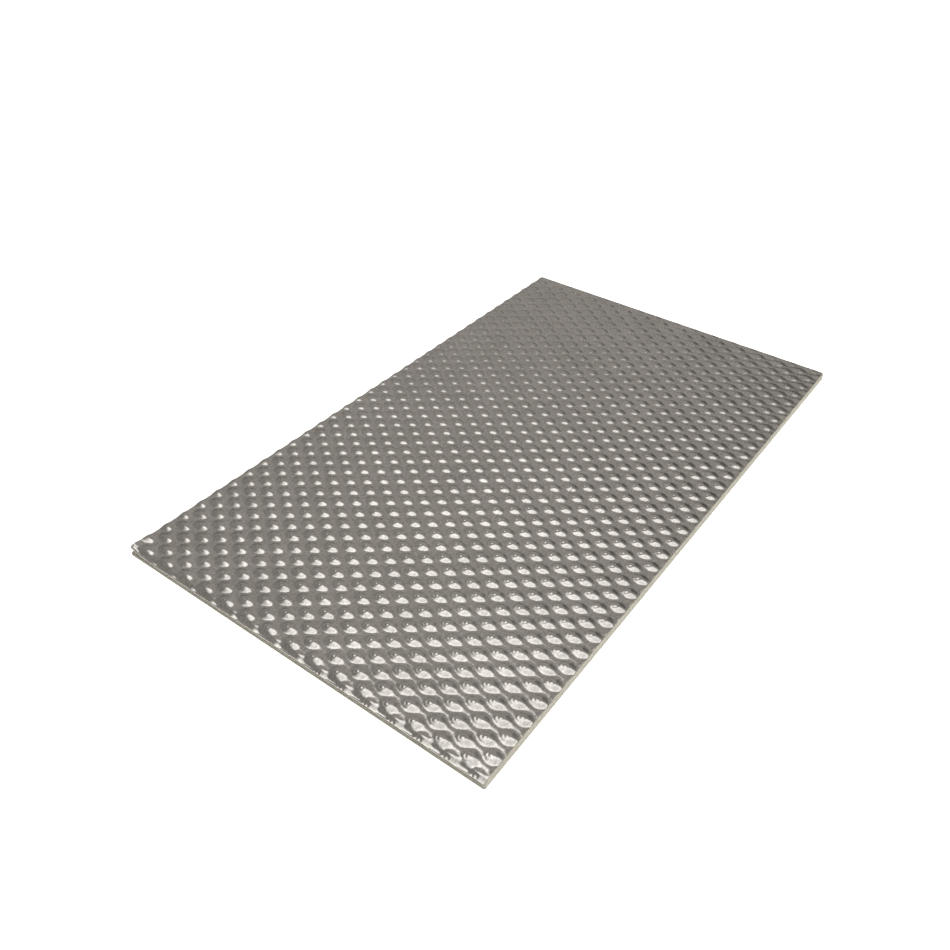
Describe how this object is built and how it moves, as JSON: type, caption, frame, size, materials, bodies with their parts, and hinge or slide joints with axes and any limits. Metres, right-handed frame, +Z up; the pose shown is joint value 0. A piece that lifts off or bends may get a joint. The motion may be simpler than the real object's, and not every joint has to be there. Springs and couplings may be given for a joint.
{
  "type": "catch can heat shield",
  "caption": "Flat rectangular heat shield for a catch can: a dome-embossed aluminium face bonded to a pale insulating pad, to be bent round a can and fixed by its underside.",
  "frame": {"origin": "centre of the pad's underside, on the surface that the panel lies on", "axes": "+X across the short side, +Y along the long side, +Z up from the pad to the embossed face"},
  "size_m": [0.1778, 0.3048, 0.0056],
  "materials": {
    "bright_aluminium": "bright rolled foil, embossed",
    "pale_insulation": "matt pale fibre with a clean cut edge"
  },
  "bodies": {
    "root": {"embossed_face": "bright_aluminium", "insulation_pad": "pale_insulation"}
  },
  "joints": []
}
